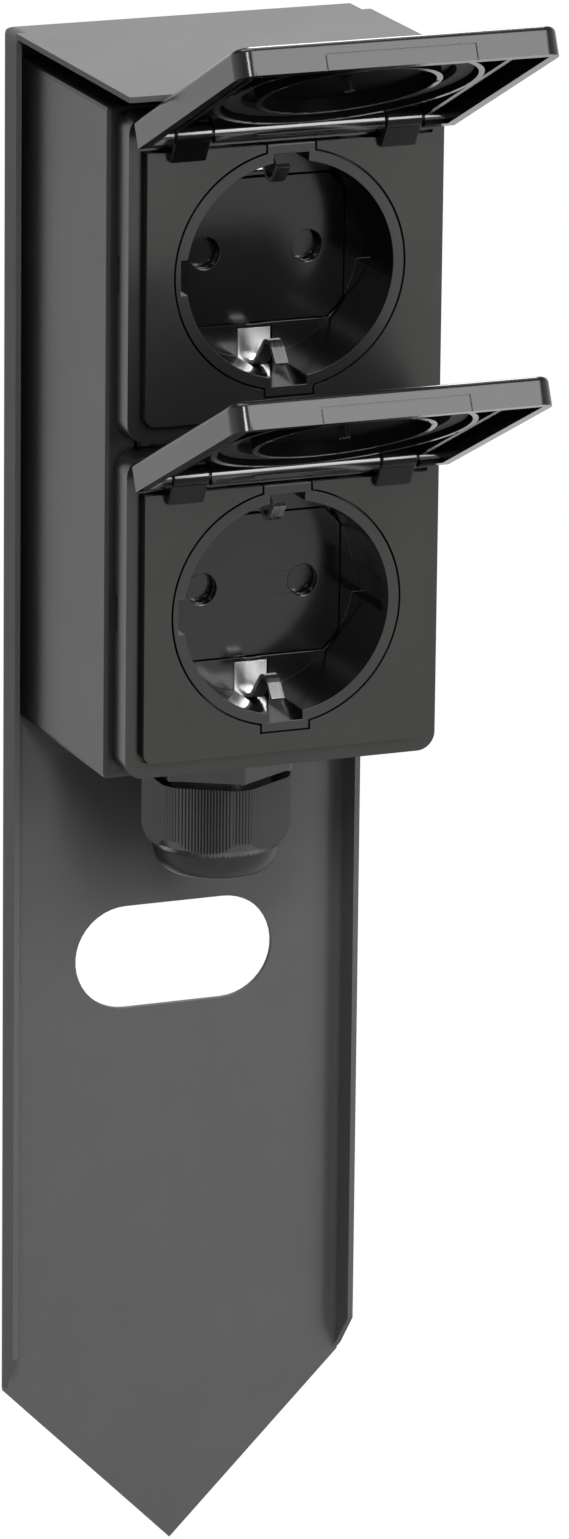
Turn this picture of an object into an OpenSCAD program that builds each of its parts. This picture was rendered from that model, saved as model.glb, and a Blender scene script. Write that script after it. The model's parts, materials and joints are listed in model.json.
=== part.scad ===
// Garden socket post: a folded sheet stake that carries a box with two lidded sockets.
// Millimetres. The front faces -Y, +Z is up, and the tip of the stake is the origin.
// Depths are measured forward from the rear face of the sheet.

/* [Post] */
// Thickness of the folded sheet
sheet = 1; // [0.8:0.1:1.4]
// Outer radius of the folds
bend_r = 2.2; // [1.6:0.1:3]
// Forward reach of the side flanges
flange_d = 7.6; // [5:0.1:12]
// Forward reach of the roof
roof_d = 62.9; // [60:0.1:64]
// Clear height between the box and the roof
roof_gap = 4.45; // [1:0.05:6]
// Clear width between a flange and the box
side_gap = 1.7; // [0.5:0.05:4]
// Height of the box above the tip
stake_h = 160.8; // [150:0.1:220]

/* [Carrying hole] */
// Length of the oblong hole in the stake
hole_l = 38; // [30:0.5:46]
// Height of the oblong hole in the stake
hole_h = 19.3; // [14:0.1:24]
// Height of the hole centre above the tip
hole_z = 113; // [100:0.5:116]

/* [Box] */
// Depth of the box, in front of the sheet
box_d = 44.2; // [42:0.1:52]
// Wall of the box
box_wall = 2; // [1.5:0.1:3]
// Box face left free beside and below the socket frames
frame_margin = 1.5; // [0.8:0.1:4]
// Box face left free above the upper frame
head_margin = 0.35; // [0.2:0.05:4]

/* [Socket frame] */
// Width of a socket frame
frame_w = 58.1; // [57:0.1:64]
// Height of a socket frame
frame_h = 57.5; // [57:0.1:66]
// Gap between the two frames
frame_gap = 2.6; // [0.8:0.1:4]
// Thickness of a frame
frame_t = 5.7; // [5:0.1:8]
// Corner radius of a frame
frame_r = 3.3; // [2:0.1:5]
// Thickness of the gasket behind a frame
gasket_t = 0.8; // [0.5:0.1:1.5]

/* [Front panel] */
// Width of the front panel
panel_w = 52.7; // [51:0.1:54]
// Height of the front panel
panel_h = 48; // [47.6:0.1:49]
// Height of the panel above the frame's lower edge
panel_z = 3; // [2.5:0.1:3.5]
// Thickness of the panel
panel_t = 3; // [2.5:0.1:4]
// Rise of the panel in front of the frame
panel_rise = 1.85; // [1:0.05:2.2]
// Radius of the panel's lower corners
panel_r = 1.8; // [1:0.1:3]

/* [Plug well] */
// Inner radius of the well
well_r = 19.1; // [18.8:0.1:19.4]
// Outer radius of the well's front ring
ring_r = 21.05; // [20.8:0.05:21.4]
// Depth of the well
well_depth = 16.1; // [15:0.1:17]
// Distance between the two pins of a plug
pin_pitch = 19; // [18.6:0.1:19.4]
// Diameter of a pin hole
pin_hole_d = 5.6; // [5.2:0.1:6]
// Width of the channels for the earth clips
clip_channel_w = 6.5; // [6.4:0.1:7.2]
// Width of the tabs round those channels
tab_w = 8.7; // [8.5:0.1:10]

/* [Lid] */
// Width of a lid
lid_w = 58.1; // [56.8:0.1:58.2]
// Length of a lid, from its hinge end to its free end
lid_l = 51.4; // [49:0.1:52]
// Height of a lid, from its rim to its face
lid_t = 5.1; // [4.8:0.1:6]
// Wall of a lid
lid_wall = 1.9; // [1.4:0.1:2.4]
// Radius of the hinge barrel
barrel_r = 1.6; // [1.4:0.1:2]
// Radius of the hinge pin
hinge_pin_r = 0.8; // [0.7:0.05:1]
// Clear distance between the open upper lid and the roof
lid_roof_gap = 0.7; // [0.5:0.1:1.2]

/* [Cable gland] */
// Distance of the gland from the rear face of the sheet
gland_d = 21.1; // [18:0.1:26]
// Width across the flats of the gland's hexagon
gland_hex = 23.6; // [22:0.1:26]
// Height of the hexagon
gland_hex_h = 6.3; // [5:0.1:8]
// Width across the flats of the dome nut
nut_w = 24.6; // [23:0.1:30]
// Height of the straight ribbed part of the nut
nut_h = 12.9; // [10:0.1:14]
// Height of the nut's dome
dome_h = 4.7; // [4:0.1:7]
// Radius of the gland's thread
thread_r = 9.9; // [8.5:0.1:10.2]
// Radius of the cable hole in the seal
cable_r = 4; // [3:0.1:5]

/* [Fits] */
// Radial clearance of a turning fit
run_gap = 0.05; // [0.02:0.01:0.09]
// Clearance between pieces that only pass each other
pass_gap = 0.3; // [0.2:0.05:0.5]
// Visible gap round a fitted cover
seam = 0.25; // [0.15:0.05:0.4]

/* [Hidden] */
$fn = 64;

// Depth stations, from the rear face of the sheet forward
box_front = sheet + box_d;
frame_back = box_front + gasket_t;
frame_front = frame_back + frame_t;
panel_front = frame_front + panel_rise;
panel_back = panel_front - panel_t;
floor_d = panel_front - well_depth;
cover_t = 2;
cover_back = floor_d - cover_t;
shutter_t = 1.5;
base_front = cover_back - shutter_t - 2 * pass_gap;
base_t = 6.3;
base_back = base_front - base_t;
strip_t = 0.8;
terminal_l = 9;
terminal_back = base_back - terminal_l;

// Widths and heights that follow from the sockets
pitch = frame_h + frame_gap;
box_w = frame_w + 2 * frame_margin;
box_h = frame_h + pitch + frame_margin + head_margin;
post_w = box_w + 2 * (side_gap + sheet);
tip_h = post_w / 2;
flange_slope = 1.18;
panel_top = panel_z + panel_h;
tab_reach = 22.1;
well_z = panel_top - tab_reach;
function frame_z(unit) = stake_h + frame_margin + unit * pitch;
function well_centre(unit) = frame_z(unit) + well_z;

// Well details
channel_reach = tab_reach - 1.65;
groove_w = 6.1;
groove_depth = 1;
groove_start = 2.4;
ring_seam = 0.35;
collar_r = tab_reach + 2.2;
collar_t = 3;
ledge_r = collar_r - 1.2;
cover_w = 2 * well_r - 5.4;
cover_h = 25.7;
cover_chamfer = 3;
pad_r = pin_hole_d / 2 + 0.6;
cavity_r = pin_pitch / 2 + pad_r + pass_gap;
slot_start = cover_h / 2 + 1;
pivot_r = 1.5;
hub_r = pivot_r + 1.8;
base_r = ring_r - 0.4;

// Earth strap
strap_w = clip_channel_w - 0.5;
finger_w = 2.4;
finger_seat = channel_reach - strip_t / 2 - pass_gap;
finger_apex_r = 14.3;
finger_tip_r = 17.5;
finger_bend = 8.6;
crest_r = 2.4;
crest_front = 50;
crest_rear = 45;
crest_step = 19;
leg_r = slot_start + strip_t / 2 + pass_gap / 2;
strap_floor = floor_d - strip_t;
strap_back = base_back - strip_t / 2;

// Contacts and terminals
tube_r = 3.2;
tube_bore_r = 2.45;
terminal_w = 7;
wire_r = 1.2;
wire_d = (base_back + terminal_back) / 2;
terminal_screw_r = 1.5;

// Lid hinge, with lid stations measured from the hinge axis: along the lid, and out of its face
axis_d = panel_front + 2.25;
axis_z = panel_top + 3.65;
lid_rim = 0.35 - (axis_d - panel_front);
lid_top = lid_rim + lid_t;
lid_plate_t = 1.2;
lid_inside = lid_top - lid_plate_t;
lid_start = -0.65;
lid_end = lid_start + lid_l;
lid_rear = lid_start + lid_wall;
lid_front = lid_end - lid_wall;
lid_r = 3;
lid_edge_r = 1;
lid_centre = axis_z - well_z;
lid_room = min(lid_front - lid_centre, lid_centre - lid_rear);
lid_seal_t = 1.2;
lid_seal_w = 3;
lid_seal_r = min(ring_r + 0.35, lid_room - 2 * pass_gap);
lid_rib_t = 1;
lid_rib_h = 2.25;
rib_inset = 2.5;
inner_rib_r = lid_seal_r - lid_seal_w - rib_inset;
outer_rib_r = lid_seal_r + 2 * pass_gap + lid_rib_t;
side_rib_gap = 0.2;
side_rib_x = outer_rib_r + side_rib_gap;
lug_x = 19.3;
lug_w = 6.7;
lug_r = lid_inside - 0.25;
lug_gap = 0.35;
lug_cut_w = lug_w + 2 * lug_gap;
lug_low = panel_top - 1.6;
tongue_l = 3;
tongue_low = panel_top + 1.4;
tongue_high = axis_z + lug_r - 2.2;
pin_half = lid_w / 2 - lid_wall - 1;

// The roof clears the box and the upper hinge, and an open lid stops below the roof
// and below the swing of the lid above it
roof_under = max(stake_h + box_h + roof_gap, frame_z(1) + axis_z + lid_top + lid_roof_gap);
post_h = roof_under + sheet;
roof_reach = roof_d - axis_d;
roof_rise = roof_under - frame_z(1) - axis_z;
roof_span = sqrt(roof_reach * roof_reach + roof_rise * roof_rise);
roof_tilt = atan2(roof_rise, roof_reach) - asin((lid_top + lid_roof_gap) / roof_span);
lid_swing = sqrt(lid_end * lid_end + lid_top * lid_top);
pass_tilt = acos(min(1, (lid_swing + lid_top + pass_gap) / pitch));
open_tilt = min(roof_tilt, pass_tilt);

// Cable gland, heights relative to the box floor
washer_t = 0.8;
hex_low = -washer_t - gland_hex_h;
nut_top = hex_low - 1;
ribs_low = nut_top - nut_h;
nut_low = ribs_low - dome_h;
locknut_h = 4.5;
thread_top = box_wall + locknut_h + 1.2;
skirt_low = ribs_low + 1.5;
seal_r = thread_r - 1.4;
seal_h = 9;
seal_low = nut_low + 2.6;
seal_top = seal_low + seal_h;
body_bore_r = seal_r - 2;
nut_mouth_r = seal_r - 1.5;
rib_count = 138;
rib_depth = 0.25;
nut_corner = 1.05;
nut_chamfer_h = 3.4;
dome_r = nut_w / 2 - 1;

// Screws
frame_screw_r = 1.5;
frame_screw_head_r = 2.7;
frame_screw_head_h = 1.6;
frame_screw_inset = 3.4;
frame_screw_x = panel_w / 2 - frame_screw_inset;
box_screw_r = 2;
box_screw_head_r = 3.6;
box_screw_head_h = 2;
box_screw_x = box_w / 2 - 9;
box_screw_z = 22;
driver_w = 4;
blade_t = 0.8;
cross_t = 1;

// Clearance of a hole round its screw, tube or wire, and the lap of solids that grow together
hole_gap = 0.1;
lap = 0.1;

// Colours
sheet_colour = [0.36, 0.36, 0.36];
box_colour = [0.38, 0.38, 0.37];
frame_colour = [0.28, 0.28, 0.27];
black_colour = [0.08, 0.08, 0.08];
base_colour = [0.2, 0.2, 0.21];
steel_colour = [0.75, 0.75, 0.74];
brass_colour = [0.72, 0.58, 0.3];
rubber_colour = [0.05, 0.05, 0.05];

// Extrudes an outline drawn in X and Z between two depths
module between(near, far) {
    rotate([90, 0, 0]) translate([0, 0, near]) linear_extrude(far - near) children();
}

// Extrudes an outline drawn in depth and Z along X, centred
module across(width) {
    rotate([90, 0, -90]) linear_extrude(width, center = true) children();
}

// Round bar along -Y between two depths
module bar(r, near, far) {
    rotate([90, 0, 0]) translate([0, 0, near]) cylinder(h = far - near, r = r);
}

// Round bar along X, centred
module cross_bar(r, length) {
    rotate([0, 90, 0]) cylinder(h = length, r = r, center = true);
}

// Rectangle with rounded corners, centred
module rounded_rect(w, h, r) {
    square([w - 2 * r, h], center = true);
    square([w, h - 2 * r], center = true);
    for (x = [-1, 1], z = [-1, 1]) translate([x * (w / 2 - r), z * (h / 2 - r)]) circle(r);
}

// Rectangle with cut corners, centred
module cut_rect(w, h, c) {
    polygon([[-w / 2, c - h / 2], [c - w / 2, -h / 2], [w / 2 - c, -h / 2], [w / 2, c - h / 2],
             [w / 2, h / 2 - c], [w / 2 - c, h / 2], [c - w / 2, h / 2], [-w / 2, h / 2 - c]]);
}

// Moves to a socket: the middle of the frame's lower edge, or the well's centre
module at_frame(unit) {
    translate([0, 0, frame_z(unit)]) children();
}
module at_well(unit) {
    translate([0, 0, well_centre(unit)]) children();
}

// Moves to an open lid: +Y runs to its free end, +Z points out of its face
module at_lid(unit) {
    translate([0, -axis_d, frame_z(unit) + axis_z])
        rotate([-open_tilt, 0, 0]) rotate([0, 0, 180]) children();
}

// Strip of even thickness along a path of [across, along] points
function unit_vector(v) = v / norm(v);
function side_of(v) = [-v[1], v[0]];
function path_dir(path, i) = unit_vector(path[i + 1] - path[i]);
function path_mitre(path, i) =
    i == 0 ? side_of(path_dir(path, 0)) :
    i == len(path) - 1 ? side_of(path_dir(path, i - 1)) :
    let (a = side_of(path_dir(path, i - 1)), b = side_of(path_dir(path, i)))
    (a + b) / (1 + a * b);
module strip(path, t) {
    left = [for (i = [0 : len(path) - 1]) path[i] + path_mitre(path, i) * t / 2];
    right = [for (i = [len(path) - 1 : -1 : 0]) path[i] - path_mitre(path, i) * t / 2];
    polygon(concat(left, right));
}

// Block whose rear and upper edges are rounded like the folds of the sheet
module folded_block(w, d, h, r) {
    intersection() {
        linear_extrude(h) mirror([0, 1]) fold_plan(w, d, r);
        across(w + 1) fold_side(d, h, r);
        translate([0, 1, 0]) between(0, d + 2) fold_front(w, h, r);
    }
}
module fold_plan(w, d, r) {
    translate([-w / 2, r]) square([w, d - r]);
    translate([r - w / 2, 0]) square([w - 2 * r, d]);
    for (x = [-1, 1]) translate([x * (w / 2 - r), r]) circle(r);
}
module fold_side(d, h, r) {
    translate([r, 0]) square([d - r, h]);
    square([d, h - r]);
    translate([r, h - r]) circle(r);
}
module fold_front(w, h, r) {
    translate([-w / 2, 0]) square([w, h - r]);
    translate([r - w / 2, 0]) square([w - 2 * r, h]);
    for (x = [-1, 1]) translate([x * (w / 2 - r), h - r]) circle(r);
}

module post_sheet() {
    inner_r = bend_r - sheet;
    color(sheet_colour) difference() {
        union() {
            folded_block(post_w, flange_d, post_h, bend_r);
            between(flange_d, roof_d) translate([-post_w / 2, roof_under]) square([post_w, sheet]);
        }
        translate([0, -sheet, 0]) folded_block(post_w - 2 * sheet, roof_d, roof_under, inner_r);
        foot_cuts();
        carrying_hole();
        box_screw_places() bar(box_screw_r + hole_gap, -1, sheet + 1);
    }
}
// Cuts the sheet to a point, and the flanges on a slope that meets the point's shoulders
module foot_cuts() {
    beyond = post_w;
    for (side = [-1, 1])
        between(-1, roof_d + 1)
            polygon([[0, 0], [side * tip_h, tip_h], [side * beyond, tip_h], [side * beyond, -1], [0, -1]]);
    across(post_w + 2)
        polygon([[sheet, -1], [sheet, tip_h],
                 [roof_d, tip_h + flange_slope * (roof_d - sheet)], [roof_d, -1]]);
}
module carrying_hole() {
    end_x = (hole_l - hole_h) / 2;
    translate([0, 0, hole_z]) between(-1, sheet + 1) {
        square([2 * end_x, hole_h], center = true);
        for (x = [-end_x, end_x]) translate([x, 0]) circle(hole_h / 2);
    }
}
module box_screw_places() {
    for (x = [-1, 1], z = [stake_h + box_screw_z, stake_h + box_h - box_screw_z])
        translate([x * box_screw_x, 0, z]) children();
}

module box_shell() {
    color(box_colour) translate([0, 0, stake_h]) difference() {
        between(sheet, box_front) translate([-box_w / 2, 0]) square([box_w, box_h]);
        between(sheet + box_wall, box_front - box_wall)
            translate([box_wall - box_w / 2, box_wall])
                square([box_w - 2 * box_wall, box_h - 2 * box_wall]);
        for (unit = [0, 1]) translate([0, 0, -stake_h]) {
            at_well(unit) bar(ledge_r + seam, box_front - box_wall - 1, box_front + 1);
            frame_screw_places(unit) bar(frame_screw_r + hole_gap, box_front - box_wall - 1, box_front + 1);
        }
        translate([0, 0, -stake_h]) box_screw_places() bar(box_screw_r + hole_gap, 0, sheet + box_wall + 1);
        translate([0, -gland_d, -1]) cylinder(h = box_wall + 2, r = thread_r + hole_gap);
    }
}

module box_screws() {
    head_d = sheet + box_wall;
    color(steel_colour) box_screw_places() difference() {
        union() {
            bar(box_screw_r, 0, head_d + lap);
            bar(box_screw_head_r, head_d, head_d + box_screw_head_h);
        }
        between(head_d + box_screw_head_h - 1.2, head_d + box_screw_head_h + 1) {
            square([driver_w, cross_t], center = true);
            square([cross_t, driver_w], center = true);
        }
    }
}

module frame_screw_places(unit) {
    for (x = [-1, 1], z = [panel_z + frame_screw_inset, panel_top - frame_screw_inset])
        translate([x * frame_screw_x, 0, frame_z(unit) + z]) children();
}

module gasket(unit) {
    inset = 0.9;
    color(rubber_colour) difference() {
        at_frame(unit) between(box_front, frame_back) translate([0, frame_h / 2])
            rounded_rect(frame_w - 2 * inset, frame_h - 2 * inset, frame_r - inset);
        at_well(unit) bar(ledge_r, box_front - 1, frame_back + 1);
        frame_screw_places(unit) bar(frame_screw_r + hole_gap, box_front - 1, frame_back + 1);
    }
}

module frame(unit) {
    head_d = panel_back - frame_screw_head_h - 0.4;
    tongue_gap = 0.05;
    collar_gap = 0.15;
    color(frame_colour) difference() {
        at_frame(unit) between(frame_back, frame_front) translate([0, frame_h / 2])
            rounded_rect(frame_w, frame_h, frame_r);
        at_frame(unit) between(panel_back, frame_front + 1) panel_outline(2 * seam, seam);
        at_well(unit) between(panel_back - collar_t, frame_front) collar_outline(collar_gap);
        at_well(unit) bar(ledge_r, frame_back - 1, panel_back - collar_t + lap);
        frame_screw_places(unit) {
            bar(frame_screw_r + hole_gap, frame_back - 1, frame_front);
            bar(frame_screw_head_r + 2 * hole_gap, head_d, frame_front);
        }
        for (x = [-lug_x, lug_x]) translate([x, 0, frame_z(unit)]) across(lug_w + 2 * tongue_gap)
            tongue_outline(tongue_gap);
        frame_notches(unit);
    }
}
// Small slots half way up each side, where a blade lifts the frame
module frame_notches(unit) {
    notch_h = 6.3;
    notch_d = 1.5;
    for (x = [-1, 1])
        translate([x * frame_w / 2, 0, frame_z(unit) + frame_h / 2])
            between(frame_back - 1, frame_back + notch_d) square([2, notch_h], center = true);
}

// Two hooks that plug into the frame, wrap the hinge pin and reach down over the panel's upper edge
module hooks(unit) {
    color(black_colour) difference() {
        for (x = [-lug_x, lug_x]) translate([x, 0, frame_z(unit)]) across(lug_w) {
            tongue_outline(0);
            lug_outline();
        }
        translate([0, -axis_d, frame_z(unit) + axis_z]) cross_bar(hinge_pin_r + run_gap, 2 * pin_half);
    }
}
module tongue_outline(extra) {
    translate([frame_front - tongue_l, tongue_low - extra])
        square([tongue_l + 1, tongue_high - tongue_low + 2 * extra]);
}
module lug_outline() {
    hook_back = panel_front + 0.1;
    hook_front = panel_front + 0.9;
    polygon([[frame_front, tongue_low], [frame_front, tongue_high], [axis_d, axis_z + lug_r],
             [axis_d + lug_r, axis_z], [hook_front, lug_low], [hook_back, lug_low],
             [hook_back, tongue_low]]);
    translate([axis_d, axis_z]) circle(lug_r);
}

module frame_screws(unit) {
    head_d = panel_back - frame_screw_head_h - 0.4;
    color(steel_colour) frame_screw_places(unit) difference() {
        union() {
            bar(frame_screw_r, box_front - box_wall - 3, head_d + lap);
            bar(frame_screw_head_r, head_d, head_d + frame_screw_head_h);
        }
        between(head_d + frame_screw_head_h - 0.9, head_d + frame_screw_head_h + 1)
            square([driver_w, blade_t], center = true);
    }
}

// Front outline of a well: a ring with a tab above and below
module ring_outline(extra) {
    circle(ring_r + extra);
    square([tab_w + 2 * extra, 2 * (tab_reach + extra)], center = true);
}

// Collar that the panel holds down in the frame, cut level above and below
module collar_outline(extra) {
    intersection() {
        circle(collar_r + extra);
        square([3 * collar_r, 2 * (tab_reach + extra)], center = true);
    }
}

// Outline of the panel, with only its lower corners rounded
module panel_outline(side_extra, end_extra) {
    w = panel_w + 2 * side_extra;
    h = panel_h + 2 * end_extra;
    r = panel_r + end_extra;
    translate([-w / 2, panel_z - end_extra]) {
        translate([0, r]) square([w, h - r]);
        translate([r, 0]) square([w - 2 * r, h]);
        for (x = [r, w - r]) translate([x, r]) circle(r);
    }
}
module panel(unit) {
    color(frame_colour) difference() {
        at_frame(unit) between(panel_back, panel_front) panel_outline(0, 0);
        at_well(unit) between(panel_back - 1, panel_front + 1) ring_outline(ring_seam);
    }
}

// Guide groove in one side of the well: the left one runs out at the front
module side_groove(side) {
    reach = well_r + groove_depth;
    translate([side * reach / 2, 0]) square([reach, groove_w], center = true);
}
module well(unit) {
    color(base_colour) at_well(unit) difference() {
        union() {
            between(base_front, panel_front) ring_outline(0);
            between(panel_back - collar_t, panel_back) collar_outline(0);
        }
        bar(well_r, floor_d, panel_front + 1);
        between(floor_d, panel_front + 1) square([clip_channel_w, 2 * channel_reach], center = true);
        between(floor_d, panel_front + 1) side_groove(-1);
        between(floor_d, panel_front - groove_start) side_groove(1);
        between(cover_back, floor_d + 1) cut_rect(cover_w + 2 * seam, cover_h + 2 * seam, cover_chamfer);
        bar(cavity_r, base_front - 1, floor_d);
        for (side = [-1, 1])
            between(base_front - 1, floor_d + 1)
                translate([0, side * (slot_start + channel_reach) / 2])
                    square([clip_channel_w, channel_reach - slot_start], center = true);
    }
}

module cover(unit) {
    color(base_colour) at_well(unit) difference() {
        between(cover_back, floor_d) cut_rect(cover_w, cover_h, cover_chamfer);
        for (x = [-1, 1]) translate([x * pin_pitch / 2, 0, 0])
            bar(pin_hole_d / 2, cover_back - 1, floor_d + 1);
    }
}

module shutter(unit) {
    color(black_colour) at_well(unit) difference() {
        between(base_front + pass_gap, cover_back - pass_gap) {
            for (x = [-1, 1]) translate([x * pin_pitch / 2, 0]) circle(pad_r);
            square([pin_pitch, 4], center = true);
            circle(hub_r);
        }
        bar(pivot_r + run_gap, base_front - 1, cover_back + 1);
    }
}

module base(unit) {
    color(black_colour) at_well(unit) {
        difference() {
            bar(base_r, base_back, base_front);
            for (x = [-1, 1]) translate([x * pin_pitch / 2, 0, 0])
                bar(tube_r + hole_gap, base_back - 1, base_front + 1);
            for (z = [-1, 1]) between(base_back - 1, base_front + 1)
                translate([0, z * leg_r]) square([strap_w + 0.3, strip_t + pass_gap], center = true);
        }
        bar(pivot_r, base_front - lap, cover_back - hole_gap);
    }
}

module contacts(unit) {
    color(brass_colour) at_well(unit) for (x = [-1, 1]) translate([x * pin_pitch / 2, 0, 0]) difference() {
        union() {
            bar(tube_r, base_back - lap, base_front - pass_gap);
            between(terminal_back, base_back) square(terminal_w, center = true);
        }
        bar(tube_bore_r, base_back - 1, base_front + 1);
        between(base_back + 1, base_front + 1) square([0.8, 2 * tube_r + 1], center = true);
        translate([0, -wire_d, 0]) cylinder(h = terminal_w + 2, r = wire_r + hole_gap, center = true);
        bar(terminal_screw_r + hole_gap, terminal_back - 1, wire_d - wire_r);
    }
}

// Half of the strap, from the free end of a clip over its round crest to the middle of the cross piece
function crest_point(a) =
    [floor_d + finger_bend + crest_r * sin(a), finger_apex_r + crest_r * (1 - cos(a))];
function along_slope(from, r, a) = [from[0] + (r - from[1]) / tan(a), r];
function strap_path() = concat(
    [along_slope(crest_point(crest_front), finger_tip_r, crest_front)],
    [for (a = [crest_front : -crest_step : -crest_rear]) crest_point(a)],
    [along_slope(crest_point(-crest_rear), finger_seat - 0.5, -crest_rear),
     [floor_d + 1, finger_seat],
     [strap_floor, finger_seat],
     [strap_floor, leg_r],
     [strap_back, leg_r],
     [strap_back, -lap]]);
module earth_strap(unit) {
    path = strap_path();
    last = len(path) - 1;
    finger = [for (i = [0 : last - 3]) path[i]];
    floor_start = path[last - 3] + [0, strip_t / 2];
    floor_part = concat([floor_start], [for (i = [last - 2 : last]) path[i]]);
    color(steel_colour) at_well(unit) difference() {
        union() {
            for (m = [0, 1]) mirror([0, 0, m]) {
                across(finger_w) strip(finger, strip_t);
                across(strap_w) strip(floor_part, strip_t);
            }
            between(terminal_back, strap_back) square([terminal_w, terminal_w], center = true);
        }
        translate([0, -wire_d, 0]) cylinder(h = terminal_w + 2, r = wire_r + hole_gap, center = true);
        bar(terminal_screw_r + hole_gap, terminal_back - 1, wire_d - wire_r);
    }
}

module terminal_screws(unit) {
    head_r = 2.6;
    head_h = 1.5;
    slot_d = 0.7;
    color(steel_colour) at_well(unit) for (x = [-1, 0, 1]) translate([x * pin_pitch / 2, 0, 0]) difference() {
        union() {
            bar(terminal_screw_r, terminal_back - lap, wire_d - wire_r - 0.2);
            bar(head_r, terminal_back - head_h, terminal_back);
        }
        between(terminal_back - head_h - 1, terminal_back - head_h + slot_d)
            square([driver_w, blade_t], center = true);
    }
}

module link_wires() {
    low = well_centre(0) - terminal_w / 2 - 1;
    high = well_centre(1) + terminal_w / 2 + 1;
    color(brass_colour) for (x = [-pin_pitch / 2, 0, pin_pitch / 2])
        translate([x, -wire_d, low]) cylinder(h = high - low, r = wire_r);
}

// Outer form of a lid, rounded at its free corners and along the edges of its face
module lid_block() {
    intersection() {
        lid_side(lid_w + 1);
        rotate([90, 0, 0]) translate([0, 0, lid_r - lid_end]) linear_extrude(lid_l - lid_r)
            translate([-lid_w / 2, lid_rim]) top_rounded(lid_w, lid_t, lid_edge_r);
    }
    lid_side(lid_w - 2 * lid_r);
    for (x = [-1, 1]) translate([x * (lid_w / 2 - lid_r), lid_end - lid_r, lid_rim]) rotate_extrude() {
        square([lid_r, lid_t - lid_edge_r]);
        square([lid_r - lid_edge_r, lid_t]);
        translate([lid_r - lid_edge_r, lid_t - lid_edge_r]) circle(lid_edge_r);
    }
}
module lid_side(width) {
    rotate([90, 0, 90]) linear_extrude(width, center = true) translate([lid_start, lid_rim])
        top_rounded(lid_l, lid_t, lid_edge_r);
}
// Rectangle from the origin with its two upper corners rounded
module top_rounded(w, h, r) {
    square([w, h - r]);
    translate([r, 0]) square([w - 2 * r, h]);
    for (x = [r, w - r]) translate([x, h - r]) circle(r);
}

module lid(unit) {
    inner_w = lid_w - 2 * lid_wall;
    flat_start = lug_x - lug_w / 2;
    flat_end = 8;
    flat_w = 2 * barrel_r - 0.4;
    lug_room = axis_z - lug_low + pass_gap;
    color(frame_colour) at_lid(unit) difference() {
        union() {
            difference() {
                lid_block();
                translate([-inner_w / 2, lid_rear, lid_rim - 1])
                    cube([inner_w, lid_front - lid_rear, lid_inside - lid_rim + 1]);
            }
            cross_bar(barrel_r, inner_w + 1);
            translate([-flat_start, -flat_w / 2, -flat_w / 2])
                cube([flat_start + flat_end, flat_w, flat_w]);
            lid_ribs(inner_w);
        }
        cross_bar(hinge_pin_r + run_gap, 2 * pin_half + 0.6);
        for (x = [-lug_x, lug_x])
            translate([x - lug_cut_w / 2, -lug_r - 2, lid_rim - 2 * barrel_r])
                cube([lug_cut_w, lug_r + 2 + lug_room, lid_inside - lid_rim + 2 * barrel_r]);
        grip_groove();
    }
}
// Two round ribs over the well with a peg between them, and a straight rib along each side
module lid_ribs(inner_w) {
    translate([0, lid_centre, lid_inside - lid_rib_h]) cylinder(h = lid_rib_h + lap, r = lid_rib_t);
    intersection() {
        translate([0, lid_centre, lid_inside - lid_rib_h])
            for (r = [inner_rib_r, outer_rib_r]) difference() {
                cylinder(h = lid_rib_h + lap, r = r);
                translate([0, 0, -1]) cylinder(h = lid_rib_h + 3, r = r - lid_rib_t);
            }
        translate([-inner_w / 2 - lap, lid_rear - lap, lid_rim])
            cube([inner_w + 2 * lap, lid_front - lid_rear + 2 * lap, lid_t]);
    }
    for (x = [-side_rib_x, side_rib_x])
        translate([x - lid_rib_t / 2, lid_rear - lap, lid_inside - lid_rib_h])
            cube([lid_rib_t, lid_front - lid_rear + 2 * lap, lid_rib_h + lap]);
}
// Fine outline of the thumb grip on the free end
module grip_groove() {
    grip_w = 27.2;
    grip_h = 2.9;
    line = 0.3;
    translate([0, lid_end, lid_rim]) difference() {
        translate([-grip_w / 2, -line, -1]) cube([grip_w, 1, grip_h + 1]);
        translate([line - grip_w / 2, -1, -2]) cube([grip_w - 2 * line, 3, grip_h + 2 - line]);
    }
}

module lid_seal(unit) {
    color(rubber_colour) at_lid(unit) translate([0, lid_centre, lid_inside - lid_seal_t]) difference() {
        cylinder(h = lid_seal_t, r = lid_seal_r);
        translate([0, 0, -1]) cylinder(h = lid_seal_t + 2, r = lid_seal_r - lid_seal_w);
    }
}

module hinge_pin(unit) {
    color(steel_colour) translate([0, -axis_d, frame_z(unit) + axis_z])
        cross_bar(hinge_pin_r, 2 * pin_half - 0.4);
}

module at_gland() {
    translate([0, -gland_d, stake_h]) children();
}
module tube(low, high, r, bore) {
    translate([0, 0, low]) difference() {
        cylinder(h = high - low, r = r);
        translate([0, 0, -1]) cylinder(h = high - low + 2, r = bore);
    }
}
function flats_r(width) = width / 2 / cos(30);

module gland_body() {
    color(black_colour) at_gland() difference() {
        union() {
            translate([0, 0, hex_low]) rotate(30)
                cylinder(h = gland_hex_h, r = flats_r(gland_hex), $fn = 6);
            translate([0, 0, skirt_low]) cylinder(h = thread_top - skirt_low, r = thread_r);
        }
        translate([0, 0, skirt_low - 1]) cylinder(h = thread_top - skirt_low + 2, r = body_bore_r);
        translate([0, 0, skirt_low - 1]) cylinder(h = seal_top - skirt_low + 1, r = seal_r + hole_gap);
    }
}

module gland_washer() {
    color(rubber_colour) at_gland() tube(-washer_t, 0, gland_hex / 2, thread_r + hole_gap);
}

module gland_locknut() {
    color(black_colour) at_gland() difference() {
        translate([0, 0, box_wall]) rotate(30) cylinder(h = locknut_h, r = flats_r(gland_hex - 1), $fn = 6);
        cylinder(h = box_wall + locknut_h + 1, r = thread_r + hole_gap);
    }
}

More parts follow.
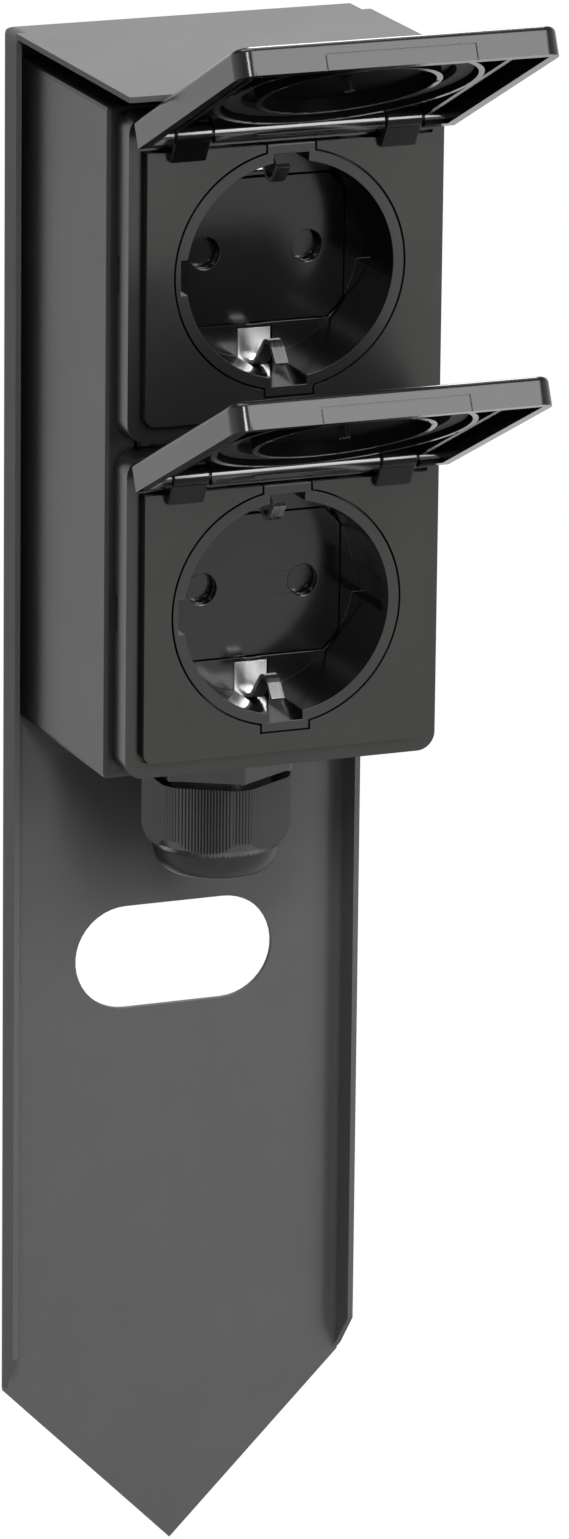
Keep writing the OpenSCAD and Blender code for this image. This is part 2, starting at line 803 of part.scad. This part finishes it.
module gland_seal() {
    color(rubber_colour) at_gland() tube(seal_low, seal_top, seal_r, cable_r);
}

// Ribbed outline of the nut: a hexagon with rounded corners and fine grip ribs
function hex_radius(a) = nut_w / 2 / cos(((a + 390) % 60) - 30);
function nut_radius(a) = min(hex_radius(a), nut_w / 2 + nut_corner);
module nut_outline() {
    polygon([for (i = [0 : 2 * rib_count - 1])
        let (a = i * 180 / rib_count, r = nut_radius(a) - (i % 2) * rib_depth) [r * cos(a), r * sin(a)]]);
}
module gland_nut() {
    color(black_colour) at_gland() difference() {
        union() {
            intersection() {
                translate([0, 0, ribs_low]) linear_extrude(nut_h) nut_outline();
                rotate_extrude() nut_limit(nut_w / 2 + nut_corner);
            }
            rotate_extrude() dome_outline(nut_mouth_r);
        }
        translate([0, 0, skirt_low - 1]) cylinder(h = nut_top - skirt_low + 2, r = thread_r + run_gap);
        translate([0, 0, seal_low - pass_gap])
            cylinder(h = skirt_low - seal_low + pass_gap, r = seal_r + 2 * hole_gap);
        translate([0, 0, nut_low - 1]) cylinder(h = nut_h, r = nut_mouth_r);
    }
}
// Half section of the space that the ribs keep to: their lower ends are rounded off
module nut_limit(full_r) {
    mid_share = 0.62;
    mid_rise = 0.42;
    mid = [dome_r + mid_share * (full_r - dome_r), ribs_low + mid_rise * nut_chamfer_h];
    limit_r = full_r + 0.1;
    polygon([[0, ribs_low - 1], [dome_r, ribs_low - 1], [dome_r, ribs_low], mid,
             [limit_r, ribs_low + nut_chamfer_h], [limit_r, nut_top + 1], [0, nut_top + 1]]);
}
// Half section of the dome: a quarter ellipse made of straight steps
module dome_outline(mouth) {
    steps = 10;
    lip_r = mouth + 1;
    polygon(concat([[mouth - 0.5, ribs_low + lap], [dome_r, ribs_low + lap]],
        [for (i = [0 : steps])
            let (a = i * 90 / steps) [lip_r + (dome_r - lip_r) * cos(a), ribs_low - dome_h * sin(a)]],
        [[mouth - 0.5, nut_low]]));
}

post_sheet();
box_shell();
box_screws();
gland_body();
gland_washer();
gland_locknut();
gland_seal();
gland_nut();
link_wires();
gasket(0);  // lower_gasket
frame(0);  // lower_frame
hooks(0);  // lower_hooks
frame_screws(0);  // lower_frame_screws
panel(0);  // lower_panel
well(0);  // lower_well
cover(0);  // lower_cover
shutter(0);  // lower_shutter
base(0);  // lower_base
contacts(0);  // lower_contacts
earth_strap(0);  // lower_earth_strap
terminal_screws(0);  // lower_terminal_screws
lid(0);  // lower_lid
lid_seal(0);  // lower_lid_seal
hinge_pin(0);  // lower_hinge_pin
gasket(1);  // upper_gasket
frame(1);  // upper_frame
hooks(1);  // upper_hooks
frame_screws(1);  // upper_frame_screws
panel(1);  // upper_panel
well(1);  // upper_well
cover(1);  // upper_cover
shutter(1);  // upper_shutter
base(1);  // upper_base
contacts(1);  // upper_contacts
earth_strap(1);  // upper_earth_strap
terminal_screws(1);  // upper_terminal_screws
lid(1);  // upper_lid
lid_seal(1);  // upper_lid_seal
hinge_pin(1);  // upper_hinge_pin
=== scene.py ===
import json
import math

import bpy
from mathutils import Matrix, Vector


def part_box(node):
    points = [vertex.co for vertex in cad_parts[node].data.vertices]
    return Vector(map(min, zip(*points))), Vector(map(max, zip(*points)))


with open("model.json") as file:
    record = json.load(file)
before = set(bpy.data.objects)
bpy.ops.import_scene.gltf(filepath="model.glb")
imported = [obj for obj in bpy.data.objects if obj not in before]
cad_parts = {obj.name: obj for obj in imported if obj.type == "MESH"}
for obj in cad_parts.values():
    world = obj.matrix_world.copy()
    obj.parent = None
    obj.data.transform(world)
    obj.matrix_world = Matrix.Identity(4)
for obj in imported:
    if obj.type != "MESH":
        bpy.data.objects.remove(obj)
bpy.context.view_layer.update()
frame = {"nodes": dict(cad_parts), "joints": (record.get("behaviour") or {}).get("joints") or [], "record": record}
nodes = frame["nodes"]
scene = bpy.context.scene
scene.view_settings.view_transform = "Standard"

WHITE = (1.0, 1.0, 1.0, 1.0)
UNITS = ("lower", "upper")


def grey(value, warm=0.0):
    return (value * (1.0 + warm), value, value * (1.0 - warm), 1.0)


# Camera, at the photograph's viewing angle

IMAGE_HEIGHT = 1539
FOCAL_PIXELS = 9205.21
CAMERA_PLACE = (-0.576106, -1.481118, 0.613926)
CAMERA_RIGHT = (0.92847866, -0.37122572, 0.01090165)
CAMERA_UP = (0.09488235, 0.26548713, 0.95943417)
CAMERA_BACK = (-0.35906089, -0.88977978, 0.2817219)

camera_data = bpy.data.cameras.new("camera")
camera_data.sensor_fit = "AUTO"
camera_data.sensor_width = 36.0
camera_data.lens = camera_data.sensor_width * FOCAL_PIXELS / IMAGE_HEIGHT
camera_data.clip_start = 0.05
camera_data.clip_end = 50.0
camera = bpy.data.objects.new("camera", camera_data)
camera_turn = Matrix((CAMERA_RIGHT, CAMERA_UP, CAMERA_BACK)).transposed().to_4x4()
camera.matrix_world = Matrix.Translation(CAMERA_PLACE) @ camera_turn
scene.collection.objects.link(camera)
scene.camera = camera


# Lamps, all aimed at the middle of the post

MIDDLE = Vector((0.0, -0.04, 0.17))


def area_light(name, place, width, height, power):
    data = bpy.data.lights.new(name, "AREA")
    data.shape = "RECTANGLE"
    data.size = width
    data.size_y = height
    data.energy = power
    lamp = bpy.data.objects.new(name, data)
    scene.collection.objects.link(lamp)
    lamp.location = place
    lamp.rotation_mode = "QUATERNION"
    lamp.rotation_quaternion = (MIDDLE - Vector(place)).to_track_quat("-Z", "Y")


area_light("light_top", (-0.10, 0.0, 1.45), width=1.2, height=1.2, power=13.0)
# Stripe on the lids' left corners
area_light("light_front", (-0.62, -1.50, 1.17), width=0.32, height=0.40, power=10.0)
# Lines along the hinge barrels and the tops of the hooks
area_light("light_low", (0.68, -1.68, 0.52), width=0.22, height=0.80, power=7.5)
# Gloss on the lids' free ends
area_light("light_key", (0.62, -1.40, 1.10), width=0.9, height=0.9, power=14.5)
# Line along the lids' upper edges
area_light("light_back", (0.70, 1.35, 1.62), width=0.50, height=1.20, power=24.0)


# World: for rays that show it, a white band round the horizon that fades to a dim ceiling

SKY_FILL = 0.08
SKY_WHITE_BELOW = 0.10
SKY_DIM_ABOVE = 0.50
SKY_DIM = 0.10


def shown(tree):
    """Output that is 1 for rays from the camera, gloss or clear pieces, and 0 for the rest."""
    path = tree.nodes.new("ShaderNodeLightPath")
    share = path.outputs["Is Camera Ray"]
    for kind in ("Is Glossy Ray", "Is Transmission Ray"):
        larger = tree.nodes.new("ShaderNodeMath")
        larger.operation = "MAXIMUM"
        tree.links.new(share, larger.inputs[0])
        tree.links.new(path.outputs[kind], larger.inputs[1])
        share = larger.outputs[0]
    return share


world = bpy.data.worlds.new("studio")
scene.world = world
world.use_nodes = True
sky = world.node_tree
sky.nodes.clear()
sky_out = sky.nodes.new("ShaderNodeOutputWorld")
sky_mix = sky.nodes.new("ShaderNodeMixShader")
sky_fill = sky.nodes.new("ShaderNodeBackground")
sky_fill.inputs["Color"].default_value = WHITE
sky_fill.inputs["Strength"].default_value = SKY_FILL
sky_seen = sky.nodes.new("ShaderNodeBackground")
sky_seen.inputs["Strength"].default_value = 1.0
sky_place = sky.nodes.new("ShaderNodeTexCoord")
sky_split = sky.nodes.new("ShaderNodeSeparateXYZ")
sky_ramp = sky.nodes.new("ShaderNodeValToRGB")
low_end, high_end = sky_ramp.color_ramp.elements
low_end.position = SKY_WHITE_BELOW
low_end.color = WHITE
high_end.position = SKY_DIM_ABOVE
high_end.color = grey(SKY_DIM)
sky.links.new(sky_place.outputs["Generated"], sky_split.inputs[0])
sky.links.new(sky_split.outputs["Z"], sky_ramp.inputs["Fac"])
sky.links.new(sky_ramp.outputs["Color"], sky_seen.inputs["Color"])
sky.links.new(shown(sky), sky_mix.inputs["Fac"])
sky.links.new(sky_fill.outputs[0], sky_mix.inputs[1])
sky.links.new(sky_seen.outputs[0], sky_mix.inputs[2])
sky.links.new(sky_mix.outputs[0], sky_out.inputs["Surface"])


# Floor: for rays that show it, white paper that still takes a little of the shadow

FLOOR_HALF = 9.0
FLOOR_Z = -0.0004
PAPER_GREY = 0.28
PAPER_GLOW = 1.10
GLOW_SHARE = 0.88

floor_mesh = bpy.data.meshes.new("floor")
floor_mesh.from_pydata(
    [
        (-FLOOR_HALF, -FLOOR_HALF, FLOOR_Z),
        (FLOOR_HALF, -FLOOR_HALF, FLOOR_Z),
        (FLOOR_HALF, FLOOR_HALF, FLOOR_Z),
        (-FLOOR_HALF, FLOOR_HALF, FLOOR_Z),
    ],
    [],
    [(0, 1, 2, 3)],
)
floor = bpy.data.objects.new("floor", floor_mesh)
scene.collection.objects.link(floor)
floor_material = bpy.data.materials.new("floor_paper")
floor_material.use_nodes = True
paper = floor_material.node_tree
paper.nodes.clear()
paper_out = paper.nodes.new("ShaderNodeOutputMaterial")
paper_mix = paper.nodes.new("ShaderNodeMixShader")
paper_diffuse = paper.nodes.new("ShaderNodeBsdfDiffuse")
paper_diffuse.inputs["Color"].default_value = grey(PAPER_GREY)
paper_glow = paper.nodes.new("ShaderNodeEmission")
paper_glow.inputs["Color"].default_value = WHITE
paper_glow.inputs["Strength"].default_value = PAPER_GLOW
paper_share = paper.nodes.new("ShaderNodeMath")
paper_share.operation = "MULTIPLY"
paper_share.inputs[1].default_value = GLOW_SHARE
paper.links.new(shown(paper), paper_share.inputs[0])
paper.links.new(paper_share.outputs[0], paper_mix.inputs["Fac"])
paper.links.new(paper_diffuse.outputs[0], paper_mix.inputs[1])
paper.links.new(paper_glow.outputs[0], paper_mix.inputs[2])
paper.links.new(paper_mix.outputs[0], paper_out.inputs["Surface"])
floor_mesh.materials.append(floor_material)


# Materials

PATCH_SCALE = 60.0
PATCH_DETAIL = 6.0
PATCH_ROUGHNESS = 0.62
GRAIN_DETAIL = 3.0
WAVE_DETAIL = 1.0
PATCH_SHARE = 0.55
GRAIN_SHARE = 0.45
NOISE_LOW = 0.3
NOISE_HIGH = 0.7


def noise(tree, vector, scale, detail):
    texture = tree.nodes.new("ShaderNodeTexNoise")
    texture.inputs["Scale"].default_value = scale
    texture.inputs["Detail"].default_value = detail
    tree.links.new(vector, texture.inputs["Vector"])
    return texture


def bump(tree, texture, depth):
    relief = tree.nodes.new("ShaderNodeBump")
    relief.inputs["Strength"].default_value = 1.0
    relief.inputs["Distance"].default_value = depth
    tree.links.new(texture.outputs["Fac"], relief.inputs["Height"])
    return relief


def surface(
    name,
    colour,
    shade,
    rough,
    grain,
    wave=None,
    metal=0.0,
    specular=0.5,
    gloss_tint=WHITE,
    stretch=(1.0, 1.0, 1.0),
):
    """A moulded, painted or metal surface, whose colour varies in soft patches between colour and
    shade. rough is the roughness and its spread. grain and wave are fine and broad bumps, each
    given as cycles per metre and depth."""
    material = bpy.data.materials.new(name)
    material.use_nodes = True
    tree = material.node_tree
    tree.nodes.clear()
    out = tree.nodes.new("ShaderNodeOutputMaterial")
    shader = tree.nodes.new("ShaderNodeBsdfPrincipled")
    shader.inputs["Metallic"].default_value = metal
    shader.inputs["Specular IOR Level"].default_value = specular
    shader.inputs["Specular Tint"].default_value = gloss_tint
    tree.links.new(shader.outputs[0], out.inputs["Surface"])

    place = tree.nodes.new("ShaderNodeTexCoord")
    mapping = tree.nodes.new("ShaderNodeMapping")
    mapping.inputs["Scale"].default_value = stretch
    tree.links.new(place.outputs["Object"], mapping.inputs["Vector"])
    vector = mapping.outputs[0]

    # Patches and grain in one value
    patches = noise(tree, vector, PATCH_SCALE, PATCH_DETAIL)
    patches.inputs["Roughness"].default_value = PATCH_ROUGHNESS
    grain_scale, grain_depth = grain
    fine = noise(tree, vector, grain_scale, GRAIN_DETAIL)
    patch_part = tree.nodes.new("ShaderNodeMath")
    patch_part.operation = "MULTIPLY"
    patch_part.inputs[1].default_value = PATCH_SHARE
    tree.links.new(patches.outputs["Fac"], patch_part.inputs[0])
    blend = tree.nodes.new("ShaderNodeMath")
    blend.operation = "MULTIPLY_ADD"
    blend.inputs[1].default_value = GRAIN_SHARE
    tree.links.new(fine.outputs["Fac"], blend.inputs[0])
    tree.links.new(patch_part.outputs[0], blend.inputs[2])

    ramp = tree.nodes.new("ShaderNodeValToRGB")
    dark_end, light_end = ramp.color_ramp.elements
    dark_end.position = NOISE_LOW
    dark_end.color = shade
    light_end.position = NOISE_HIGH
    light_end.color = colour
    tree.links.new(blend.outputs[0], ramp.inputs["Fac"])
    tree.links.new(ramp.outputs["Color"], shader.inputs["Base Color"])

    roughness, rough_spread = rough
    gloss = tree.nodes.new("ShaderNodeMapRange")
    gloss.inputs["From Min"].default_value = NOISE_LOW
    gloss.inputs["From Max"].default_value = NOISE_HIGH
    gloss.inputs["To Min"].default_value = roughness - rough_spread
    gloss.inputs["To Max"].default_value = roughness + rough_spread
    tree.links.new(blend.outputs[0], gloss.inputs["Value"])
    tree.links.new(gloss.outputs[0], shader.inputs["Roughness"])

    relief = bump(tree, fine, grain_depth)
    if wave:
        wave_scale, wave_depth = wave
        swell = bump(tree, noise(tree, vector, wave_scale, WAVE_DETAIL), wave_depth)
        tree.links.new(relief.outputs[0], swell.inputs["Normal"])
        relief = swell
    tree.links.new(relief.outputs[0], shader.inputs["Normal"])
    return material


MATERIALS = {
    "powder_coat": surface(
        "powder_coat", grey(0.125), grey(0.107), rough=(0.58, 0.06), grain=(3200.0, 10e-6),
        wave=(700.0, 10e-6), specular=0.15,
    ),
    "front_plastic": surface(
        "front_plastic", grey(0.020, 0.02), grey(0.016, 0.02), rough=(0.24, 0.04),
        grain=(4200.0, 3e-6), specular=0.52, gloss_tint=(1.0, 0.985, 0.955, 1.0),
    ),
    # Darker than front_plastic although each well is moulded of one plastic: painted shade inside the wells
    "well_plastic": surface(
        "well_plastic", grey(0.0075, 0.02), grey(0.0060, 0.02), rough=(0.15, 0.03),
        grain=(3000.0, 1e-6),
    ),
    "inner_plastic": surface(
        "inner_plastic", grey(0.030, 0.01), grey(0.024, 0.01), rough=(0.42, 0.06),
        grain=(3600.0, 6e-6),
    ),
    "gland_plastic": surface(
        "gland_plastic", grey(0.017, 0.01), grey(0.014, 0.01), rough=(0.25, 0.04),
        grain=(3800.0, 2e-6), specular=0.66,
    ),
    "rubber": surface(
        "rubber", grey(0.016), grey(0.012), rough=(0.70, 0.06), grain=(2600.0, 10e-6), specular=0.3,
    ),
    "spring_steel": surface(
        "spring_steel", grey(0.86, 0.01), grey(0.74, 0.01), rough=(0.30, 0.06),
        grain=(2200.0, 2e-6), metal=1.0, stretch=(1.0, 0.05, 0.05),
    ),
    "zinc_steel": surface(
        "zinc_steel", grey(0.62, -0.01), grey(0.46, -0.01), rough=(0.32, 0.08),
        grain=(1500.0, 3e-6), metal=1.0,
    ),
    "brass": surface(
        "brass", (0.66, 0.47, 0.21, 1.0), (0.50, 0.34, 0.14, 1.0), rough=(0.28, 0.07),
        grain=(1800.0, 3e-6), metal=1.0,
    ),
    "wire_sleeve": surface(
        "wire_sleeve", (0.10, 0.055, 0.028, 1.0), (0.07, 0.040, 0.020, 1.0), rough=(0.40, 0.06),
        grain=(2400.0, 5e-6),
    ),
}
BOX_PAINT = surface(
    "box_paint", grey(0.030, -0.02), grey(0.025, -0.02), rough=(0.30, 0.03), grain=(3600.0, 4e-6),
    wave=(500.0, 6e-6), specular=0.32, gloss_tint=(0.985, 1.0, 0.965, 1.0),
)
DOME_PLASTIC = surface(
    "dome_plastic", grey(0.015, 0.01), grey(0.012, 0.01), rough=(0.40, 0.05), grain=(3800.0, 5e-6),
    specular=0.34,
)
# Black plastic whose gloss is weakened so the hooks stay dark: painted shade in place of the dark reflections
# under the lids
HOOK_PLASTIC = surface(
    "hook_plastic", grey(0.008), grey(0.006), rough=(0.26, 0.05), grain=(3800.0, 3e-6),
    specular=0.15,
)
LID_PLASTIC = surface(
    "lid_plastic", grey(0.016, 0.01), grey(0.013, 0.01), rough=(0.18, 0.02), grain=(4200.0, 0.6e-6),
)
PIN_PLASTIC = surface(
    "pin_plastic", grey(0.010, 0.01), grey(0.008, 0.01), rough=(0.16, 0.02), grain=(3000.0, 0.4e-6),
    specular=0.60,
)
# Near black with little gloss: painted shade for the hollows of the lids
PAINTED_SHADE_HOLLOW = surface(
    "painted_shade_hollow", grey(0.004), grey(0.003), rough=(0.40, 0.06), grain=(3000.0, 8e-6),
    specular=0.06,
)

FINISH = {sub["node"]: MATERIALS[sub["material_slot"]] for sub in frame["record"]["subparts"]}
FINISH["box_shell"] = BOX_PAINT
for unit in UNITS:
    FINISH[unit + "_hooks"] = HOOK_PLASTIC
    FINISH[unit + "_lid"] = LID_PLASTIC
for name, obj in nodes.items():
    obj.data.materials.clear()
    obj.data.materials.append(FINISH[name])


# Faces that differ from the rest of their piece


def refinish(name, material, chosen):
    """Gives material to the faces of a piece that chosen picks, and returns them."""
    mesh = nodes[name].data
    slot = len(mesh.materials)
    mesh.materials.append(material)
    faces = [face for face in mesh.polygons if chosen(face)]
    for face in faces:
        face.material_index = slot
    return faces


# Stations in a lid are measured from its hinge: x across, y along the lid, z out of its face
LID_TILT = math.radians(25.2)
JOINT_PLACES = {joint["name"]: joint["pos_m"] for joint in frame["joints"]}
HOLLOW_HALF_WIDTH = 0.0273
HOLLOW_NEAR = 0.0018
HOLLOW_FAR = 0.0490
HOLLOW_TOP = 0.0021
RIB_TIP = -0.0002
BARREL_RADIUS = 0.0026


def in_hollow(at):
    across = abs(at.x) < HOLLOW_HALF_WIDTH
    along = HOLLOW_NEAR < at.y < HOLLOW_FAR
    return across and along and RIB_TIP < at.z < HOLLOW_TOP


def on_barrel(at):
    return math.hypot(at.y, at.z) < BARREL_RADIUS


# The hollow of each lid is painted near black with weak gloss, a painted shade, apart from the tips of its ribs.
# Its hinge barrel is smoother and keeps its facets.
lid_turn = Matrix.Rotation(-LID_TILT, 4, "X") @ Matrix.Rotation(math.pi, 4, "Z")
for unit in UNITS:
    lid = unit + "_lid"
    to_lid = (Matrix.Translation(JOINT_PLACES[lid + "_hinge"]) @ lid_turn).inverted()
    refinish(lid, PAINTED_SHADE_HOLLOW, lambda face: in_hollow(to_lid @ face.center))
    for face in refinish(lid, PIN_PLASTIC, lambda face: on_barrel(to_lid @ face.center)):
        face.use_smooth = False

# The rounded tops of the hooks are as smooth as the barrels
HOOK_TOP_SLOPE = 0.10
for unit in UNITS:
    refinish(unit + "_hooks", PIN_PLASTIC, lambda face: face.normal.z > HOOK_TOP_SLOPE)

# The front of each well matches the panel round it; the rest of the well keeps the darker well_plastic, painted
# shade inside it
FRONT_DEPTH = 0.00005
for unit in UNITS:
    front_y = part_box(unit + "_panel")[0][1] + FRONT_DEPTH
    refinish(unit + "_well", MATERIALS["front_plastic"], lambda face: face.center.y < front_y)

# The dome of the gland's nut is duller than its ribbed sides
DOME_HEIGHT = 0.0050
dome_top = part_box("gland_nut")[0][2] + DOME_HEIGHT
refinish("gland_nut", DOME_PLASTIC, lambda face: face.center.z < dome_top)


# Eased edges, so that moulded and folded edges catch the light

WELD_REACH = 2e-6
EASE_ANGLE = math.radians(35.0)
EASE_SEGMENTS = 2
NORMAL_WEIGHT = 100
EASE = {
    "post_sheet": 0.00012,
    "box_shell": 0.00070,
    "gland_body": 0.00030,
    "frame": 0.00030,
    "panel": 0.00050,
    "hooks": 0.00030,
    "well": 0.00022,
    "cover": 0.00015,
    "lid": 0.00018,
    "earth_strap": 0.00012,
}


def ease(obj, width):
    weld = obj.modifiers.new("weld", "WELD")
    weld.merge_threshold = WELD_REACH
    bevel = obj.modifiers.new("ease", "BEVEL")
    bevel.width = width
    bevel.segments = EASE_SEGMENTS
    bevel.limit_method = "ANGLE"
    bevel.angle_limit = EASE_ANGLE
    bevel.use_clamp_overlap = True
    # Flat faces keep their own normals up to the eased edge
    normals = obj.modifiers.new("normals", "WEIGHTED_NORMAL")
    normals.mode = "FACE_AREA"
    normals.weight = NORMAL_WEIGHT
    normals.keep_sharp = True


for name, obj in nodes.items():
    kind = name.split("_", 1)[1] if name.startswith(("lower_", "upper_")) else name
    if kind in EASE:
        ease(obj, EASE[kind])
